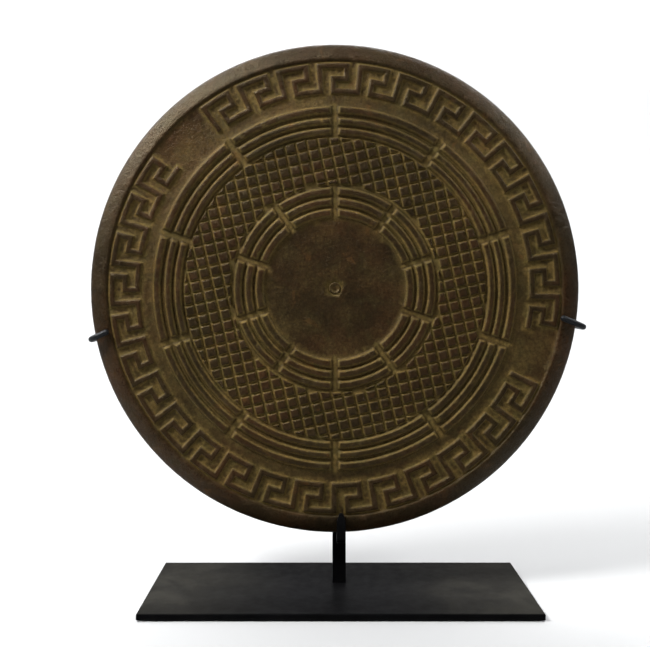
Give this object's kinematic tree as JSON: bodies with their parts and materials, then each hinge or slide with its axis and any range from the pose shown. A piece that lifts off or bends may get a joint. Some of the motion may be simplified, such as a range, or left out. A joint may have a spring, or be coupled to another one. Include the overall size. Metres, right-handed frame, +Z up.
{
  "type": "manhole cover on a display stand",
  "caption": "Round cast-iron manhole cover with ring ribs, a studded band and a key border, held upright by clawed arms on a flat steel display stand.",
  "frame": {"origin": "centre of the whole piece in plan, on the surface the stand rests on", "axes": "+Z up, -Y towards the viewer of the cover's face, +X to that viewer's right"},
  "size_m": [0.5152, 0.1524, 0.5745],
  "materials": {
    "cover_iron": "weathered dark brown with ochre dirt in the hollows",
    "plug_iron": "worn wrought iron",
    "black_steel": "satin black paint",
    "screw_steel": "zinc plated",
    "set_screw_steel": "black oxide",
    "felt": "dark felt",
    "liner_rubber": "matte black",
    "sleeve_plastic": "satin black shrink sleeve"
  },
  "bodies": {
    "stand": {"base_plate": "black_steel", "base_felt": "felt", "post": "black_steel", "post_screws": "screw_steel", "bottom_claw": "black_steel", "claw_screw": "screw_steel", "bottom_liner": "liner_rubber", "left_tube": "black_steel", "right_tube": "black_steel", "set_screws": "set_screw_steel", "back_pads": "felt"},
    "cover": {"cover_casting": "cover_iron", "centre_plug": "plug_iron"},
    "left_claw": {"left_arm": "black_steel", "left_sleeve": "sleeve_plastic"},
    "right_claw": {"right_arm": "black_steel", "right_sleeve": "sleeve_plastic"}
  },
  "joints": [
    {"name": "cover_lift", "type": "slide", "parent": "stand", "child": "cover", "axis": [0, 0, 1], "range_m": [0, 0.24]},
    {"name": "left_arm_slide", "type": "slide", "parent": "stand", "child": "left_claw", "axis": [-0.9114, 0, -0.4115], "range_m": [0, 0.03]},
    {"name": "right_arm_slide", "type": "slide", "parent": "stand", "child": "right_claw", "axis": [0.9257, 0, -0.3781], "range_m": [0, 0.03]}
  ]
}
